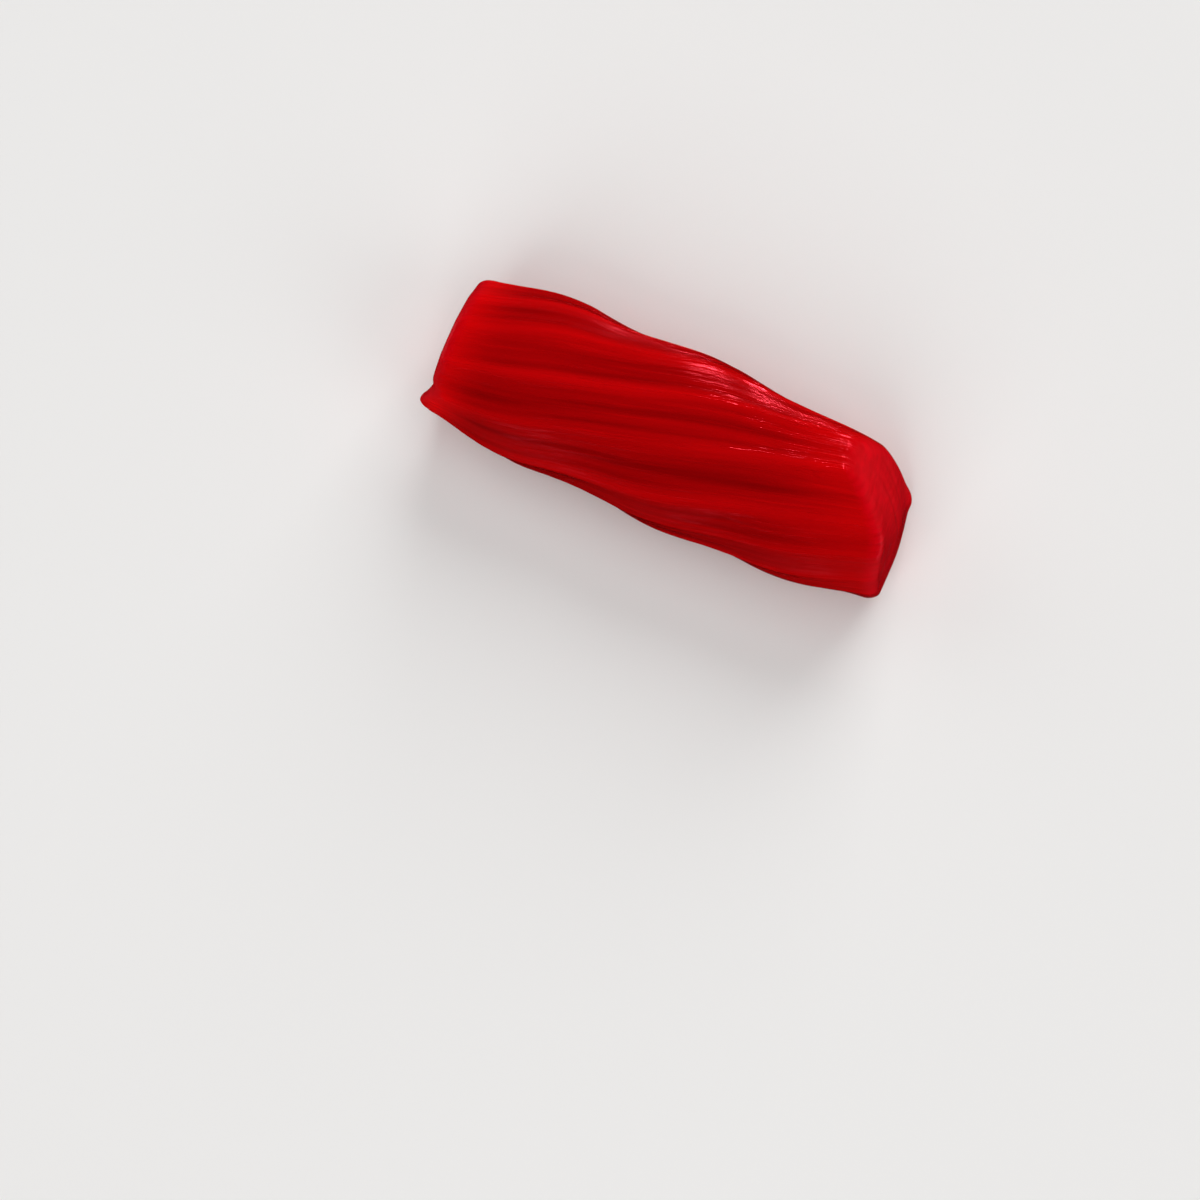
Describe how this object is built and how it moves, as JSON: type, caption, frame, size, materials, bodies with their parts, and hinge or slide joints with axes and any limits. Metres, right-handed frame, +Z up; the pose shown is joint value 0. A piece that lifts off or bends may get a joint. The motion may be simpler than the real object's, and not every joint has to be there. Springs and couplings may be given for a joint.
{
  "type": "soft licorice piece",
  "caption": "Short length of soft red licorice: a twisted, fluted rope with shallow grooves, cut at both ends and lying on its side.",
  "frame": {"origin": "on the surface that the piece lies on, under the middle of its box", "axes": "+X along the rope towards the slanted cut, +Y across it towards the rounded shoulder of that cut, +Z up"},
  "size_m": [0.0454, 0.0164, 0.0138],
  "materials": {
    "licorice": "deep translucent red, soft gloss"
  },
  "bodies": {
    "root": {"licorice_piece": "licorice"}
  },
  "joints": []
}
